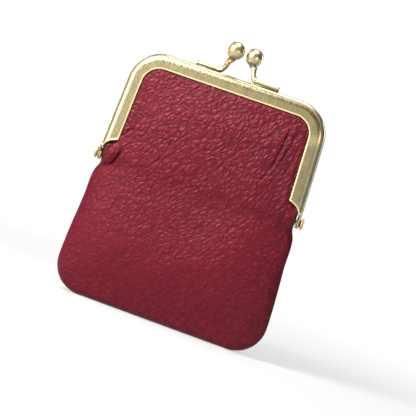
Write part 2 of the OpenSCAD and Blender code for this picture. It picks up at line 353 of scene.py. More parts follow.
def pebble_heights(places):
    """What pebble_nodes() gives at these places in the pebble pattern."""
    mesh = bpy.data.meshes.new("places")
    mesh.vertices.add(len(places))
    mesh.vertices.foreach_set("co", np.asarray(places, np.float32).ravel())
    probe = bpy.data.objects.new("places", mesh)
    bpy.context.scene.collection.objects.link(probe)
    tree = bpy.data.node_groups.new("places", "GeometryNodeTree")
    for way in ("INPUT", "OUTPUT"):
        tree.interface.new_socket("Mesh", in_out=way, socket_type="NodeSocketGeometry")
    start = add(tree, "NodeGroupInput")
    place = add(tree, "GeometryNodeInputPosition")
    store = add(tree, "GeometryNodeStoreNamedAttribute", {
        "Geometry": start.outputs["Mesh"], "Name": "height",
        "Value": pebble_nodes(tree, place.outputs["Position"]),
    }, data_type="FLOAT", domain="POINT")
    add(tree, "NodeGroupOutput", {"Mesh": store.outputs["Geometry"]})
    probe.modifiers.new("places", "NODES").node_group = tree
    found = probe.evaluated_get(bpy.context.evaluated_depsgraph_get()).data
    heights = np.empty(len(places), np.float32)
    found.attributes["height"].data.foreach_get("value", heights)
    bpy.data.objects.remove(probe)
    bpy.data.meshes.remove(mesh)
    bpy.data.node_groups.remove(tree)
    return heights


def leather_material():
    """Pebbled leather. Attribute 'pebbles' is the place in the pebble pattern, 'relief' is how
    strongly it shows, and a third darkens the seams and paints shade in creases and by the flange."""
    material, tree, shader = new_material("burgundy_leather")
    pebbles = attribute(tree, "pebbles", "Vector")
    relief = attribute(tree, "relief")
    height = pebble_nodes(tree, pebbles)
    level = add(tree, "ShaderNodeMix", {"Factor": relief, "A": 0.65, "B": height},
                data_type="FLOAT").outputs["Result"]
    # Pebble colour, darker in the creases and lighter on the tops: painted shade and painted
    # highlight
    body = ramp(tree, level, [
        (0.0, (0.070, 0.0015, 0.0068)),
        (0.6, (0.124, 0.0031, 0.0120)),
        (1.0, (0.160, 0.0064, 0.0205)),
    ])
    patches = ramp(tree, noise(tree, pebbles, 0.22, 4.0, 0.55), [
        (0.3, (0.76, 0.74, 0.74)), (0.7, 1.0)])
    dye_and_pebble_shade = mixed(tree, 0.4, body, patches, "MULTIPLY")
    # Colour of the dark seams and of the painted shade
    seam_and_shade_colour = (0.022, 0.0012, 0.0030, 1.0)
    fibres = bump(tree, noise(tree, pebbles, 7.0, 5.0, 0.65), 0.25, 0.10)
    feed(tree, shader, {
        "Base Color": mixed(tree, attribute(tree, "seam_and_painted_shade"), dye_and_pebble_shade, seam_and_shade_colour),
        "Roughness": rescale(tree, level, (0.0, 1.0), (0.60, 0.40)),
        "Specular IOR Level": 0.18,
        "Normal": bump(tree, height, relief, 0.24, fibres),
    })
    return material


def brass_material(name, bright, roughness, brush):
    """Antique brass, brushed up and down: dark and dull where the first attribute is high, for
    patina and painted shade, and pale where the second is high, for a painted highlight on edges."""
    material, tree, shader = new_material(name)
    painted_highlight = attribute(tree, "painted_highlight")
    strokes = noise(tree, object_place(tree, 4200, 420, 420), 1.0, 6.0, 0.7)
    cloud = noise(tree, object_place(tree, 260, 260, 260), 1.0, 4.0, 0.6)
    # The patina attribute also carries painted shade and painted dark reflection
    age_and_shade = rescale(tree, times_plus(tree, cloud, 0.35, attribute(tree, "patina_and_shade")), (0.15, 1.15))
    aged_and_shaded = ramp(tree, age_and_shade, [
        (0.0, bright),
        (0.35, [0.8 * b + 0.2 * d for b, d in zip(bright, BRASS_DARK)]),
        (1.0, BRASS_DARK),
    ])
    streaks = ramp(tree, strokes, [(0.34, (0.62, 0.58, 0.50)), (0.66, 1.0)])
    brushed = mixed(tree, brush, aged_and_shaded, streaks, "MULTIPLY")
    bare = rescale(tree, age_and_shade, (0.0, 1.0), (1.0, 0.35))
    polish = rescale(tree, strokes, (0.0, 1.0), (roughness - 0.06, roughness + 0.12))
    # Pale yellow and less metallic where the painted edge highlight is
    feed(tree, shader, {
        "Base Color": mixed(tree, painted_highlight, brushed, BRASS_HIGHLIGHT),
        "Metallic": times_plus(tree, painted_highlight, -0.6, bare, use_clamp=True),
        "Roughness": times_plus(tree, age_and_shade, 0.25, polish),
        "Coat Weight": 0.5,
        "Coat Roughness": 0.12,
        "Normal": bump(tree, strokes, 0.16 * brush, 0.08),
    })
    return material


def cloth_material(name, colour, deep, pitch):
    """Plain woven cloth, with threads pitch mm apart."""
    material, tree, shader = new_material(name)
    place = object_place(tree, *(1000 / pitch,) * 3)
    warp, weft = (
        add(tree, "ShaderNodeTexWave", {"Vector": place, "Scale": 0.5, "Distortion": 0.4},
            wave_type="BANDS", bands_direction=way).outputs["Fac"] for way in "XZ")
    weave = add(tree, "ShaderNodeMath", {0: warp, 1: weft}, operation="MULTIPLY").outputs["Value"]
    shade = times_plus(tree, noise(tree, place, 0.12, 5.0), 0.6, weave)
    feed(tree, shader, {
        "Base Color": ramp(tree, shade, [(0.2, deep), (0.9, colour)]),
        "Roughness": 0.8,
        "Specular IOR Level": 0.15,
        "Normal": bump(tree, weave, 0.5, 0.1),
    })
    return material


def fibre_material(name, colour, deep):
    """Paper or thread with fine fibres."""
    material, tree, shader = new_material(name)
    fibres = noise(tree, object_place(tree, 2600, 2600, 2600), 1.0, 6.0, 0.7)
    feed(tree, shader, {
        "Base Color": ramp(tree, fibres, [(0.3, deep), (0.7, colour)]),
        "Roughness": 0.85,
        "Normal": bump(tree, fibres, 0.4, 0.1),
    })
    return material


BRASS_DARK = (0.085, 0.066, 0.030)
# Pale yellow of the painted edge highlights
BRASS_HIGHLIGHT = (0.80, 0.69, 0.33, 1.0)
LEATHER_LOOK = leather_material()
FRAME_LOOK = brass_material("brushed_antique_brass", (0.74, 0.63, 0.345), 0.22, 0.8)
CLASP_LOOK = brass_material("polished_antique_brass", (0.60, 0.48, 0.27), 0.24, 0.15)
LINING_LOOK = cloth_material("lining_cloth", (0.095, 0.011, 0.019), (0.03, 0.004, 0.007), 0.28)
PAPER_LOOK = fibre_material("kraft_paper", (0.56, 0.42, 0.26), (0.36, 0.25, 0.14))
THREAD_LOOK = fibre_material("burgundy_thread", (0.17, 0.016, 0.028), (0.07, 0.006, 0.012))


# ------------------------------------------------------------------ frame

def frame_stations(low_z, leg_step=0.22, corner_steps=36, top_steps=60):
    """(x, z, outward angle) round the frame's outer edge, from the right leg to the left."""
    legs = max(2, int((LEG_TOP_Z - low_z) / leg_step))
    right = [(leg_x(z), z, FLARE) for z in np.linspace(low_z, LEG_TOP_Z, legs, endpoint=False)]
    for i in range(corner_steps + 1):
        a = mix(FLARE, math.pi / 2, i / corner_steps)
        right.append((CORNER_X + CORNER_R * math.cos(a), CORNER_Z + CORNER_R * math.sin(a), a))
    top = [(x, TOP_Z, math.pi / 2)
           for x in np.linspace(CORNER_X, -CORNER_X, top_steps, endpoint=False)[1:]]
    left = [(-x, z, math.pi - a) for x, z, a in reversed(right)]
    return right + top + left


def cut_curve():
    """The leg's end as (reach in from the outer edge, drop): it slopes down from the flange's
    inner corner and then curves into the outer wall."""
    return cubic([(FLANGE - 0.2, 0), (3.0, 1.0), (1.5, 1.6),
                  (SHEET + 0.05, FLANGE_END - LEG_END)], 24)


def flange_cut(z):
    """How far in from the outer edge the flange reaches at height z."""
    drop = HINGE_Z + FLANGE_END - z
    if drop <= 0:
        return FLANGE
    curve = cut_curve()
    return float(np.interp(drop, curve[:, 1], curve[:, 0]))


def cut_rim():
    """Rounded edge along the right leg's end."""
    path = []
    for reach, drop in cut_curve():
        z = HINGE_Z + FLANGE_END - drop
        bend = max(0.0, (SHOULDER_W - reach) / SHOULDER_W)
        y = FRONT_Y + SHEET / 2 + SHOULDER_R * (1 - math.sqrt(1 - min(1.0, bend) ** 2))
        path.append((leg_x(z) - reach * math.cos(FLARE), y, z))
    return bar_along(path, SHEET / 2 + 0.1, 12)


def channel_profile(cut):
    """Closed section (outward, depth) of a frame half whose flanges reach cut mm inward."""
    front, back = FRONT_Y, -HALF_GAP
    wide, deep, inner_r = SHOULDER_W, SHOULDER_R, INNER_SHOULDER_R
    front_reach, back_reach = min(FLANGE, cut), min(BACK_FLANGE, cut)
    path = []                               # (outward, depth, normal's angle)
    flat = np.linspace(-max(front_reach, wide + 0.01), -wide, 8, endpoint=False)
    path += [(n, front, math.radians(270)) for n in flat]
    for t in np.linspace(math.radians(270), math.radians(360), 19):
        way = math.atan2(math.sin(t) / deep, math.cos(t) / wide)
        path.append((-wide + wide * math.cos(t), front + deep + deep * math.sin(t), way))
    trimmed = [p for p in path if p[0] >= -front_reach]
    path = [trimmed[0]] * (len(path) - len(trimmed)) + trimmed
    path = [(n - 1e-4 * (len(path) - k), y, a) for k, (n, y, a) in enumerate(path)]
    for t in np.linspace(0, math.pi / 2, 7):
        path.append((-inner_r + inner_r * math.cos(t), back - inner_r + inner_r * math.sin(t), t))
    for n in np.linspace(-inner_r, -max(back_reach, inner_r + 0.05), 6)[1:]:
        path.append((n, back, math.radians(90)))

    outer = [(n, y) for n, y, a in path]
    inner = [(n - SHEET * math.cos(a), y - SHEET * math.sin(a)) for n, y, a in path]

    def edge(a, b, lip):
        """Rounded edge from a to b, standing out by lip."""
        a, b = np.array(a), np.array(b)
        middle, half = (a + b) / 2, (b - a) / 2
        out = np.array((half[1], -half[0])) / np.linalg.norm(half)
        return [tuple(middle - half * math.cos(t) + out * math.sin(t) * lip)
                for t in np.linspace(0, math.pi, 9)[1:-1]]

    return (outer + edge(outer[-1], inner[-1], 0.22) + inner[::-1]
            + edge(inner[0], outer[0], 0.4))


def swept_frame():
    """The bent channel, as points, faces and, at each point, a value for patina and painted shade
    and one for a painted highlight.
    """
    stations = frame_stations(HINGE_Z + LEG_END)
    points, patina_and_shade, painted_highlight = [], [], []
    for x, z, a in stations:
        section = channel_profile(flange_cut(z))
        for n, y in section:
            points.append((x + n * math.cos(a), y, z + n * math.sin(a)))
            inside = n < -SHEET and FRONT_Y + SHEET * 0.6 < y < -HALF_GAP - 0.1
            # Painted dark reflection on the wall near the mouth, where the two halves meet
            near_mouth = 0.95 * float(smooth((y + HALF_GAP + 2.4) / 1.6))
            # Painted shade on the right leg
            right_leg = 0.75 * float(smooth((x - 30) / 12) * smooth((TOP_Z - 9 - z) / 8))
            patina_and_shade.append(0.75 if inside else max(right_leg, near_mouth))
            # Painted highlight along the flange's inner edge
            lip = n < 0.12 - flange_cut(z) and y < FRONT_Y + SHEET * 0.55
            painted_highlight.append(0.9 if lip else 0.0)
    sides = len(channel_profile(FLANGE))
    return points, ring_faces(len(stations), sides), patina_and_shade, painted_highlight


def plate(outline, x, thickness, bevel=0.12):
    """Flat plate across X from a (y, z) outline, with its edges eased."""
    outline = np.asarray(outline, float)
    centre = outline.mean(axis=0)
    rings = []
    for dx, inset in ((0, bevel), (bevel, 0), (thickness - bevel, 0), (thickness, bevel)):
        shrunk = outline - (outline - centre) / np.linalg.norm(
            outline - centre, axis=1)[:, None] * inset
        rings.extend([(x + dx, y, z) for y, z in shrunk])
    return rings, ring_faces(4, len(outline))


def ear_outline():
    """Round ear about the hinge, with a neck that widens up to the leg (front half)."""
    points = [(EAR_R * math.sin(math.radians(a)), HINGE_Z - EAR_R * math.cos(math.radians(a)))
              for a in range(-98, 112, 7)]
    neck = [(-0.55, HINGE_Z + LEG_END), (-0.6, HINGE_Z + 4.7), (-2.1, HINGE_Z + 4.9),
            (-3.2, HINGE_Z + 4.6), (-3.6, HINGE_Z + 3.4)]
    return points + neck


def mirrored(part, axis):
    """A part's mirror image across X (0) or Y (1)."""
    points, faces = part
    points = np.asarray(points, float).copy()
    points[:, axis] *= -1
    return points, [f[::-1] for f in faces]


def frame_half(side):
    """One half of the frame: channel, ears and the rims of its cut leg ends. The back half's
    ears lie inside the front's and have a step up to the channel."""
    front = side == "front"
    points, faces, patina_and_shade, painted_highlight = swept_frame()
    ear_x = EAR_X - SHEET if front else EAR_X - 2 * SHEET - EAR_GAP
    ear = plate(ear_outline(), ear_x, SHEET)
    rim = cut_rim()
    parts = [(points, faces), ear, mirrored(ear, 0), rim, mirrored(rim, 0)]
    if not front:
        step = plate([(-3.3, HINGE_Z + 3.3), (-0.7, HINGE_Z + 3.3),
                      (-0.7, HINGE_Z + 4.5), (-3.3, HINGE_Z + 4.5)], ear_x, 0.95)
        parts += [step, mirrored(step, 0)]
        parts = [mirrored(p, 1) for p in parts]
    piece = join_parts(f"{side}_frame_detail", parts, FRAME_LOOK)
    at = places_of(piece)
    in_rim = np.arange(len(at)) >= len(patina_and_shade) + 2 * len(ear[0])
    on_cut = in_rim & (at[:, 2] > HINGE_Z + LEG_END + 0.4)
    # The ears, the step and the rims' low ends get 0.5, painted shade in the hinge's gaps
    dark = np.where(on_cut, 0.0, 0.5)
    dark[:len(patina_and_shade)] = patina_and_shade
    point_attribute(piece, "patina_and_shade", dark)
    # Painted highlight on the rims of the cut leg ends
    highlight_values = np.where(on_cut, 0.8, 0.0)
    highlight_values[:len(painted_highlight)] = painted_highlight
    point_attribute(piece, "painted_highlight", highlight_values)
    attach(piece, f"{side}_half")
    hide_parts(f"{side}_frame")


# ------------------------------------------------------------------ clasp and rivets

def turned_half(part, side):
    """The back half's clasp is the front's, turned half way round Z."""
    if side == "front":
        return part
    points, faces = part
    return np.asarray(points, float) * (-1, -1, 1), faces


def clasp_arm(side):
    """Foot, bar along the frame's top and curved stem up to the ball."""
    foot_x = foot_low[0] + 4.5
    foot_end = foot_high[0]
    y, z = -1.75, TOP_Z + ARM_R
    run = [(x, y, z) for x in np.linspace(foot_end, BALL[0] + 5.6, 16)]
    rise = cubic([(BALL[0] + 5.6, y, z), (BALL[0] + 3.2, y, z), (BALL[0] + 2.4, y * 0.75, z + 1.6),
                  (BALL[0] + 1.9, y * 0.3, z + 3.6)], 18)[1:]
    reach = cubic([rise[-1], rise[-1] + (rise[-1] - rise[-2]) * 6,
                   (BALL[0] + 0.55, BALL[1] * 0.8, BALL[2] - BALL_R - 0.6),
                   (BALL[0] + 0.15, BALL[1], BALL[2] - BALL_R + 1.0)], 18)[1:]
    path = np.vstack([run, rise, reach])
    spread = smooth((path[:, 2] - TOP_Z - 3.0) / 4.5)
    bar = bar_along(path, ARM_R + 0.38 * spread)
    end = bar_along([(foot_end, y, z), (foot_end + 0.2, y, z)], [ARM_R, ARM_R * 0.8])
    base = plate([(y - 0.8, TOP_Z - 0.12), (y + 0.8, TOP_Z - 0.12), (y + 0.95, TOP_Z + 0.55),
                  (y - 0.95, TOP_Z + 0.55)], foot_x, foot_end - foot_x)
    parts = [turned_half(p, side) for p in (bar, end, base)]
    piece = join_parts(f"{side}_clasp_arm_detail", parts, CLASP_LOOK)
    height = places_of(piece)[:, 2]
    # Painted shade on the bar's lower side over the frame and round the stem under the ball, on 0.15
    # of patina
    low = smooth(1 - (height - TOP_Z - 0.35) / 1.35)
    neck = smooth(1 - np.abs(height - (BALL[2] - BALL_R)) / 1.0) * 0.9
    point_attribute(piece, "patina_and_shade", np.maximum(low, neck) + 0.15)
    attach(piece, f"{side}_half")
    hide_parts(f"{side}_clasp_arm")


def clasp_ball(side):
    """Ball at the arm's end, with painted shade underneath."""
    rings = 40
    profile = [(BALL_R * -math.cos(math.pi * i / rings), BALL_R * math.sin(math.pi * i / rings))
               for i in range(1, rings)]
    points, faces = lathe(profile, 64)
    upright = [(y, z, x) for x, y, z in points]
    part = turned_half((np.asarray(upright) + BALL, faces), side)
    piece = join_parts(f"{side}_clasp_ball_detail", [part], CLASP_LOOK)
    # Painted shade on the ball's lower part, on 0.15 of patina
    under = smooth((BALL[2] - 1.2 - places_of(piece)[:, 2]) / 2.4) * 0.7
    point_attribute(piece, "patina_and_shade", under + 0.15)
    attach(piece, f"{side}_half")
    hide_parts(f"{side}_clasp_ball")


def hinge_rivet(hand):
    """Rivet through the left or right ears, with a washer and a turned head outside."""
    tail, head = rivet_low[0], rivet_high[0]
    head_r = (rivet_high[1] - rivet_low[1]) / 2
    stand = EAR_X + 0.05
    disc = head - 1.3
    profile = [(tail, 0.5), (tail + 0.06, 0.85), (tail + 0.22, 1.12), (tail + 0.38, 1.2),
               (tail + 0.4, 0.8), (stand, 0.8), (stand + 0.02, 1.4), (disc, 1.4),
               (disc + 0.02, head_r - 0.15), (disc + 0.15, head_r), (disc + 0.62, head_r),
               (disc + 0.8, head_r - 0.12), (disc + 1.05, head_r * 0.72),
               (disc + 1.2, head_r * 0.42), (head, 0.15)]
    points, faces = lathe(profile)
    part = (np.asarray(points) + (0, 0, HINGE_Z), faces)
    if hand == "left":
        part = mirrored(part, 0)
    piece = join_parts(f"{hand}_hinge_rivet_detail", [part], FRAME_LOOK)
    outward = np.abs(places_of(piece)[:, 0])
    # Painted shadow on the shank, washer and neck inside the head's disc; 0.35 of patina on the head
    point_attribute(piece, "patina_and_shade", 0.35 + 0.6 * smooth((disc + 0.1 - outward) / 0.3))
    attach(piece, "pouch")
    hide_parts(f"{hand}_hinge_rivet")


# ------------------------------------------------------------------ leather

COLUMNS, ROWS = 280, 330                   # of the leather's mesh
LINING_COLUMNS, LINING_ROWS = 110, 120
STEP = 5                                   # the hidden side of a skin is this much coarser
BLEND_LOW = HINGE_Z - 3.0
EDGE_INSET = 1.95                          # edge of the skins, in from the frame's outer edge
GRAIN_ANGLE = 56                           # pebbles lie this way, in degrees
PEBBLE = (2.8, 1.8)                        # length and width of a pebble
CLUSTER = (5.2, 3.4)                       # and of a cluster of pebbles
PEBBLE_RELIEF = 0.20                       # from a pebble's top to its creases
CLUSTER_RELIEF = 0.20


def half_width(z):
    """Half width of the leather at height z."""
    share = np.clip((z - WIDEST_Z) / (NECK_Z - WIDEST_Z), 0, 1)
    low = POUCH_HALF - (POUCH_HALF - NECK_HALF) * share ** 1.6
    low = low + 0.95 * np.exp(-((z - HINGE_Z + 8.5) / 7.0) ** 2)
    high = leg_x(z) - EDGE_INSET
    return mix(low, high, smooth((z - (HINGE_Z - 6.8)) / 4.6))


def corner_rise(d, r):
    """Rise of a round corner's edge at distance d from the side."""
    inside = np.clip(r - d, 0, r)
    return r - np.sqrt(np.maximum(0, r * r - inside ** 2))


def frame_distance(x, z):
    """Distance in from the frame's outer edge."""
    side = (leg_x(z) - np.abs(x)) * math.cos(FLARE)
    corner = CORNER_R - np.hypot(np.abs(x) - CORNER_X, z - CORNER_Z)
    in_corner = (np.abs(x) > CORNER_X) & (z > CORNER_Z)
    return np.where(in_corner, corner, np.minimum(side, TOP_Z - z))


def pouch_depth(z):
    """Half thickness of the pouch at mid-width."""
    low = mix(BASE_DEPTH, BELLY_DEPTH, np.sin(np.pi / 2 * np.clip(z / BELLY_Z, 0, 1)))
    high = mix(BELLY_DEPTH, HINGE_DEPTH, smooth((z - BELLY_Z) / (HINGE_Z - BELLY_Z)))
    return np.where(z < BELLY_Z, low, high)


def seam_gap(z):
    """Half the gap between the front and back panels at their edges: sewn shut below the
    hinges, and open above them."""
    return mix(-0.03, 0.12, smooth((z - BLEND_LOW + 4.5) / 4))


def skin_depth(x, z):
    """How far the leather's outer face stands from the middle plane."""
    w = half_width(z)
    side = np.clip(w - np.abs(x), 0, None)
    r = POUCH_CORNER_R
    qx, qz = np.abs(x) - (w - r), r - z
    corner = np.where((qx > 0) & (qz > 0), r - np.hypot(qx, qz), np.minimum(side, z))
    round_side = (1 - (1 - np.clip(side / 30, 0, 1)) ** 2.6) ** 0.62
    roll = np.sqrt(1 - (1 - np.clip(corner / 2.4, 0, 1)) ** 2)
    low = pouch_depth(z) * round_side * roll + seam_gap(z)

    n = frame_distance(x, z)
    lip = smooth((n - 6.0) / 1.8) * 0.62
    crown = smooth((n - 5.9) / 17) * 1.35
    high = TUCK_DEPTH + lip + crown
    return mix(low, high, smooth((z - BLEND_LOW + 1.2) / 6.4))


def pebble_place(x, z, seed):
    """Place in the pebble pattern, in pebbles along and across, bent so that no two regions
    are alike."""
    bend_x = x + 0.35 * value_noise(x, z, 4, seed) + 2.0 * value_noise(x, z, 28, seed + 1)
    bend_z = z + 0.35 * value_noise(x, z, 4, seed + 2) + 2.0 * value_noise(x, z, 28, seed + 3)
    a = math.radians(GRAIN_ANGLE)
    along = (bend_x * math.cos(a) + bend_z * math.sin(a)) / PEBBLE[0]
    across = (bend_z * math.cos(a) - bend_x * math.sin(a)) / PEBBLE[1]
    return np.stack([along, across, np.full_like(x, seed)], axis=2)


def cluster_height(x, z, seed):
    """Relief of the leather's clusters of pebbles, in mm: 0 on top, negative between them."""
    bend_x = x + 0.6 * value_noise(x, z, 5, seed)
    bend_z = z + 0.6 * value_noise(x, z, 5, seed + 2)
    middle = cells(bend_x, bend_z, *CLUSTER, GRAIN_ANGLE, seed + 4)
    return -CLUSTER_RELIEF * np.minimum(middle, 0.9) ** 2


def stroke(x, z, route, width):
    """1 along a route of points, fading out over width mm, with tapered ends."""
    best = np.zeros_like(x)
    route = np.asarray(route, float)
    count = len(route) - 1
    for k in range(count):
        a, b = route[k], route[k + 1]
        way = b - a
        t = np.clip(((x - a[0]) * way[0] + (z - a[1]) * way[1]) / way.dot(way), 0, 1)
        d = np.hypot(x - a[0] - t * way[0], z - a[1] - t * way[1])
        along = (k + t) / count
        fade = np.clip(4 * along * (1 - along), 0, 1) ** 0.5
        best = np.maximum(best, np.exp(-(d / width) ** 2) * fade)
    return best


def wave(points, n=10):
    """Smooth route that four control points guide."""
    return [tuple(p[:2]) for p in cubic([(*p, 0) for p in points], n)]


def folds(x, z):
    """Swellings and creases in mm, where the leather is gathered, and a 0..1 value that
    is high in the sharp creases, where shade is painted."""
    h = HINGE_Z
    total = np.zeros_like(x)
    sharp = np.zeros_like(x)
    # Tuck under the left leg's end: a swelling, a ridge on it and the creases round it
    total += 0.75 * np.exp(-(((x + 37.8) - 0.35 * (z - h - 1.0)) / 2.7) ** 2
                           - ((z - h - 1.0) / 4.2) ** 2)
    total += 0.35 * stroke(x, z, wave([(-36.2, h + 6.0), (-36.4, h + 3.5), (-36.8, h + 1.5),
                                       (-37.4, h - 0.5)]), 0.7)
    # The right leg's end, gathered less
    total += 0.30 * np.exp(-(((x - 37.8) + 0.3 * (z - h - 1.5)) / 2.4) ** 2
                           - ((z - h - 1.0) / 4.2) ** 2)
    total += 0.22 * stroke(x, z, wave([(29.2, h + 35), (28.4, h + 27), (28.0, h + 20),
                                       (25.0, h + 11)]), 1.3)
    # Creases: depth, width and route
    for deep, width, route in (
            (1.15, 0.38, [(-33.6, h + 4.6), (-34.0, h + 1.4), (-35.4, h - 1.8), (-37.6, h - 4.6)]),
            (0.75, 0.38, [(-36.6, h - 2.0), (-38.0, h - 3.0), (-39.3, h - 3.6), (-41.0, h - 5.2)]),
            (0.50, 0.36, [(-37.9, h + 6.4), (-38.3, h + 5.0), (-38.6, h + 3.4), (-39.2, h + 1.6)]),
            (0.70, 0.36, [(-36.9, h + 7.6), (-35.6, h + 9.6), (-34.2, h + 11.2), (-32.0, h + 13.6)]),
            (0.22, 0.50, [(35.0, h + 6.4), (34.0, h + 2.0), (35.6, h - 3.4), (39.8, h - 5.0)]),
            (0.55, 0.40, [(27.6, h + 35), (26.6, h + 27), (27.0, h + 19), (23.2, h + 11)]),
            (0.34, 0.42, [(30.8, h + 34), (30.0, h + 28), (28.4, h + 20), (26.0, h + 13)]),
            (0.28, 0.42, [(33.0, h + 30), (32.6, h + 24), (31.4, h + 17), (29.6, h + 9)]),
            (0.30, 0.45, [(-14.0, h + 19), (-15.5, h + 13), (-16.5, h + 8), (-19.5, h + 2)]),
            (0.35, 0.50, [(34.4, h + 31), (34.8, h + 23), (34.8, h + 15), (35.4, h + 8)]),
            (0.95, 0.50, [(-36.3, h + 7.0), (-38.0, h + 6.3), (-40.0, h + 5.6), (-41.4, h + 3.4)]),
            (0.95, 0.50, [(36.3, h + 7.0), (38.0, h + 6.3), (40.0, h + 5.6), (41.4, h + 3.4)]),
    ):
        mark = stroke(x, z, wave(route), width)
        total -= deep * mark
        sharp = np.maximum(sharp, min(1.0, deep) * mark)
    # Soft hollows and swells of a pouch that has been filled and emptied
    total += 0.42 * value_noise(x, z, 21, 91) + 0.16 * value_noise(x, z, 9, 92)
    total -= 0.35 * stroke(x, z, wave([(22, h + 2), (10, h - 8), (2, h - 18), (-4, h - 34)]), 6.5)
    return total, sharp


def skin_grid(columns, rows, inset=0.0, floor=0.0, tuck=0.0):
    """x and z of a grid over the panel. inset draws the side edges in, floor lifts the lower
    edge, and tuck lowers the upper edge."""
    u = np.linspace(-1, 1, columns + 1)
    s = 0.68 * u + 0.32 * np.sin(np.pi / 2 * u)
    v = np.linspace(0, 1, rows + 1)
    v = 0.82 * v + 0.18 * (1 - np.cos(np.pi / 2 * v))
    low = floor + corner_rise((1 - np.abs(s)) * (POUCH_HALF - inset), POUCH_CORNER_R - inset)
    top_half = CORNER_X + CORNER_R - EDGE_INSET
    high = TOP_Z - EDGE_INSET - tuck - corner_rise(
        (1 - np.abs(s)) * top_half, CORNER_R - EDGE_INSET)
    z = low[None, :] + (high - low)[None, :] * v[:, None]
    x = s[None, :] * (half_width(z) - inset)
    return x, z


def grid_normals(p):
    """Unit normal at each point of a grid."""
    du, dv = np.gradient(p, axis=1), np.gradient(p, axis=0)
    n = np.cross(du, dv)
    return n / np.linalg.norm(n, axis=2)[:, :, None]


def shell_faces(rows, columns):
    """Faces of a fine outer grid and a coarser inner grid, joined round their edge."""
    step = STEP

    def outer(j, i):
        return j * (columns + 1) + i

    inner_rows, inner_columns = rows // step, columns // step
    start = (rows + 1) * (columns + 1)

    def inner(j, i):
        return start + j * (inner_columns + 1) + i

    faces = [[outer(j, i), outer(j, i + 1), outer(j + 1, i + 1), outer(j + 1, i)]
             for j in range(rows) for i in range(columns)]
    faces += [[inner(j, i), inner(j + 1, i), inner(j + 1, i + 1), inner(j, i + 1)]
              for j in range(inner_rows) for i in range(inner_columns)]
    for i in range(inner_columns):
        low = [outer(0, i * step + k) for k in range(step + 1)]
        high = [outer(rows, i * step + k) for k in range(step + 1)]
        faces.append(low[::-1] + [inner(0, i), inner(0, i + 1)])
        faces.append(high + [inner(inner_rows, i + 1), inner(inner_rows, i)])
    for j in range(inner_rows):
        left = [outer(j * step + k, 0) for k in range(step + 1)]
        right = [outer(j * step + k, columns) for k in range(step + 1)]
        faces.append(left + [inner(j + 1, 0), inner(j, 0)])
        faces.append(right[::-1] + [inner(j, inner_columns), inner(j + 1, inner_columns)])
    return faces


def skin_piece(side, kind, outer, inner, material):
    """Closed skin from its outer and inner grids. The back's is the front's mirror image."""
    rows, columns = outer.shape[0] - 1, outer.shape[1] - 1
    part = (np.vstack([outer.reshape(-1, 3), inner.reshape(-1, 3)]), shell_faces(rows, columns))
    if side == "back":
        part = mirrored(part, 1)
    piece = make_mesh(f"{side}_{kind}_skin", *part, material)
    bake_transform(piece)
    return piece


def leather_skin(side, seed):
    """Leather panel: belly, folds, clusters and pebbles outside, plain inside."""
    x, z = skin_grid(COLUMNS, ROWS)
    depth = skin_depth(x, z)
    plain = np.stack([x, -depth, z], axis=2)
    n = frame_distance(x, z)
    above = smooth((z - HINGE_Z - FLANGE_END + 1.5) / 1.2)
    open_face = mix(1.0, smooth((n - 6.2) / 1.5), above)
    in_side = np.clip(half_width(z) - np.abs(x), 0, None)
    edge = smooth(np.minimum(in_side, z + 1.2) / 2.2)
    gathers, creases = folds(x if side == "front" else -x, z)
    depth = depth + gathers * open_face * smooth(in_side / 2.4) * smooth(z / 8)
    outer = np.stack([x, -np.maximum(depth, seam_gap(z)), z], axis=2)
    pebbles = pebble_place(x, z, seed)
    strength = mix(0.5, 0.95, smooth((z - 15) / 70)) + 0.1 * value_noise(x, z, 12, seed + 6)
    heights = pebble_heights(pebbles.reshape(-1, 3)).reshape(x.shape)
    relief = cluster_height(x, z, seed) - PEBBLE_RELIEF * (1 - heights) * strength
    outer += grid_normals(outer) * (relief * open_face * mix(0.35, 1.0, edge))[:, :, None]
    outer[:, :, 1] = np.minimum(outer[:, :, 1], -seam_gap(z))

    inner = (plain - grid_normals(plain) * LEATHER)[::STEP, ::STEP]
    inner[:, :, 1] = np.minimum(inner[:, :, 1], -0.03)
    inner[0, :, 2] = np.maximum(inner[0, :, 2], plain[0, ::STEP, 2] + 0.3)
    inner_half = half_width(inner[:, :, 2]) - 0.15
    inner[:, :, 0] = np.clip(inner[:, :, 0], -inner_half, inner_half)

    piece = skin_piece(side, "leather", outer, inner, LEATHER_LOOK)
    vector_attribute(piece, "pebbles", np.vstack([
        pebbles.reshape(-1, 3), pebbles[::STEP, ::STEP].reshape(-1, 3)]))
    # Darker along the side and bottom seams; painted shadow beside the frame's flange and painted
    # shade in the fold creases
    seam_and_painted_shade = 0.35 * (1 - smooth(in_side / 1.4)) + 0.35 * (1 - smooth(z / 2.2)) \
        + 1.1 * (1 - smooth((n - 5.8) / 1.1)) * above + 0.8 * creases * open_face
    plain_inside = np.full(inner[:, :, 0].size, 0.2)
    for name, values in (("relief", np.clip(strength, 0, 1)), ("seam_and_painted_shade", np.clip(seam_and_painted_shade, 0, 0.95))):
        point_attribute(piece, name, np.concatenate([values.ravel(), plain_inside]))
    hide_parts(f"{side}_leather_upper", f"{side}_leather_fold",
                f"{side}_leather_lower")


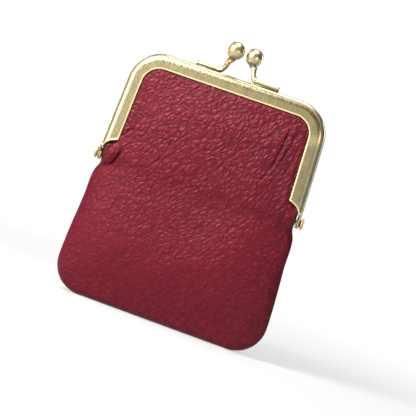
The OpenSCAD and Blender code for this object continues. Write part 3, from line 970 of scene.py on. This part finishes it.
def lining_skin(side, seed):
    """Lining panel, which hangs a little slack inside the leather."""
    x, z = skin_grid(LINING_COLUMNS, LINING_ROWS, inset=LINING_INSET, floor=LEATHER + 0.4,
                     tuck=0.4)
    base = np.stack([x, -skin_depth(x, z), z], axis=2)
    in_side = np.clip(half_width(z) - LINING_INSET - np.abs(x), 0, None)
    ease = smooth(in_side / 6) * smooth((z - 3) / 8) * smooth((frame_distance(x, z) - 7) / 5)
    slack = ease * (0.35 + 0.3 * value_noise(x, z, 13, seed) + 0.14 * value_noise(x, z, 5, seed + 1))
    outer = base - grid_normals(base) * (LEATHER + 0.14 + np.maximum(slack, 0))[:, :, None]
    outer[:, :, 1] = np.minimum(outer[:, :, 1], -0.32)
    outer[:, :, 2] = np.maximum(outer[:, :, 2], LEATHER + 0.3)
    inner = (outer - grid_normals(outer) * LINING)[::STEP, ::STEP]
    inner[:, :, 1] = np.minimum(inner[:, :, 1], -0.05)
    piece = skin_piece(side, "lining", outer, inner, LINING_LOOK)
    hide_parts(f"{side}_lining_upper", f"{side}_lining_lower")


def paper_cord(side):
    """Three twisted strands of paper in the channel."""
    inset, depth, radius, strands, pitch, sides = 2.6, -1.47, 0.56, 3, 5.0, 18
    points, along, before = [], 0.0, None
    stations = frame_stations(HINGE_Z + FLANGE_END + 0.7, leg_step=0.5, corner_steps=30,
                              top_steps=90)
    for x, z, a in stations:
        centre = np.array((x - inset * math.cos(a), z - inset * math.sin(a)))
        along += 0.0 if before is None else float(np.linalg.norm(centre - before))
        before = centre
        for k in range(sides):
            t = 2 * math.pi * k / sides
            r = radius + 0.12 * math.cos(strands * t + 2 * math.pi * along / pitch)
            n, y = r * math.cos(t), r * math.sin(t)
            points.append((centre[0] + n * math.cos(a), depth + y, centre[1] + n * math.sin(a)))
    part = (points, ring_faces(len(stations), sides))
    if side == "back":
        part = mirrored(part, 1)
    piece = join_parts(f"{side}_paper_cord_detail", [part], PAPER_LOOK)
    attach(piece, f"{side}_half")
    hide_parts(f"{side}_paper_cord")


# ------------------------------------------------------------------ studio

def studio():
    """Pale floor, white surroundings and soft lights."""
    floor = make_mesh("floor", [(-3000, -3000, 0), (3000, -3000, 0), (3000, 3000, 0),
                                (-3000, 3000, 0)], [[0, 1, 2, 3]], floor_material())
    studio_world()

    middle = Vector((0, 0, 55))

    def area(name, place, size, watts):
        light = bpy.data.lights.new(name, "AREA")
        light.shape = "RECTANGLE"
        light.size, light.size_y = size[0] * MM, size[1] * MM
        light.energy = watts
        lamp = bpy.data.objects.new(name, light)
        lamp.location = Vector(place) * MM
        lamp.rotation_euler = (middle - Vector(place)).to_track_quat("-Z", "Y").to_euler()
        bpy.context.scene.collection.objects.link(lamp)

    area("key", (-130, -140, 225), (125, 125), 1.4)
    area("overhead", (60, 20, 900), (700, 380), 5.6)
    area("left_strip", (-500, -500, 90), (300, 320), 1.5)
    area("right_strip", (470, -540, 90), (240, 320), 0.9)
    area("back_strip_left", (-480, 560, 160), (230, 620), 2.2)
    area("back_strip_right", (480, 560, 160), (230, 620), 2.2)


def studio_world():
    """White to the camera; for light and reflections, bright in front and overhead, darker
    at the sides, behind and in a band between the horizon and the overhead light."""
    world = bpy.data.worlds.new("studio")
    bpy.context.scene.world = world
    world.use_nodes = True
    tree = world.node_tree
    place = add(tree, "ShaderNodeTexCoord").outputs["Generated"]
    ways = add(tree, "ShaderNodeSeparateXYZ", {"Vector": place}).outputs
    height = ramp(tree, ways["Z"], [
        (0.0, 0.85), (0.14, 0.70), (0.27, 0.08), (0.48, 0.12), (0.66, 0.95), (1.0, 1.0)])
    sides = ramp(tree, rescale(tree, ways["X"], (-1.0, 1.0)), [
        (0.0, 0.06), (0.22, 0.12), (0.34, 0.80), (0.41, 1.0), (0.46, (0.34, 0.31, 0.28)),
        (0.72, (0.24, 0.21, 0.18)), (0.88, (0.12, 0.11, 0.09)), (1.0, 0.08)])
    rear = ramp(tree, rescale(tree, ways["Y"], (-1.0, 1.0)), [
        (0.0, 1.0), (0.68, 1.0), (0.86, 0.30), (1.0, 0.10)])
    colour = height
    for share in (sides, rear):
        colour = mixed(tree, 1.0, colour, share, "MULTIPLY")
    lit = tree.nodes["Background"]
    feed(tree, lit, {"Color": colour, "Strength": 0.9})
    seen = add(tree, "ShaderNodeBackground", {"Color": (1, 1, 1, 1), "Strength": 1.0})
    choice = add(tree, "ShaderNodeMixShader", {
        "Fac": add(tree, "ShaderNodeLightPath").outputs["Is Camera Ray"],
        1: lit.outputs["Background"], 2: seen.outputs["Background"]})
    feed(tree, tree.nodes["World Output"], {"Surface": choice.outputs["Shader"]})


def floor_material():
    """White floor that is half lit and half glowing near the purse, where it takes the purse's
    shadow, and only glowing further out, like the photograph's plain background."""
    material, tree, shader = new_material("pale_floor")
    speckle = add(tree, "ShaderNodeTexNoise", {"Scale": 6.0, "Detail": 3.0}).outputs["Fac"]
    feed(tree, shader, {"Base Color": ramp(tree, speckle, [(0.3, 0.50), (0.7, 0.54)]),
                        "Roughness": 0.8})
    glow = add(tree, "ShaderNodeEmission", {"Color": (1, 1, 1, 1), "Strength": 1.0})
    place = add(tree, "ShaderNodeTexCoord").outputs["Object"]
    distance = add(tree, "ShaderNodeVectorMath", {0: place}, operation="LENGTH")
    far = rescale(tree, distance.outputs["Value"], (0.03, 0.30), (0.5, 1.0),
                  interpolation_type="SMOOTHSTEP")
    blend = add(tree, "ShaderNodeMixShader", {
        "Fac": far, 1: shader.outputs["BSDF"], 2: glow.outputs["Emission"]})
    feed(tree, tree.nodes["Material Output"], {"Surface": blend.outputs["Shader"]})
    return material


def camera():
    """The photograph's view: the purse leans to the right, seen from slightly right of its front."""
    target = Vector((7.0, -5.0, 50.4)) * MM
    azimuth, elevation, roll = math.radians(7.5), math.radians(1.5), math.radians(19.4)
    distance, seen = 0.65, 0.1643
    way = Vector((math.sin(azimuth) * math.cos(elevation),
                  -math.cos(azimuth) * math.cos(elevation), math.sin(elevation)))
    data = bpy.data.cameras.new("camera")
    data.sensor_width = 36
    data.lens = 36 * distance / seen
    view = bpy.data.objects.new("camera", data)
    level = (-way).to_track_quat("-Z", "Y").to_matrix().to_4x4()
    view.matrix_world = Matrix.Translation(target + way * distance) @ level \
        @ Matrix.Rotation(roll, 4, "Z")
    bpy.context.scene.collection.objects.link(view)
    bpy.context.scene.camera = view


camera()
studio()
for half, leather_seed, lining_seed in (("front", 11, 71), ("back", 47, 83)):
    frame_half(half)
    clasp_arm(half)
    clasp_ball(half)
    leather_skin(half, leather_seed)
    lining_skin(half, lining_seed)
    paper_cord(half)
for hand in ("left", "right"):
    hinge_rivet(hand)
for thread in ("leather_seam_thread", "lining_seam_thread"):
    frame["nodes"][thread].data.materials.clear()
    frame["nodes"][thread].data.materials.append(THREAD_LOOK)

bpy.context.scene.view_settings.view_transform = "Standard"
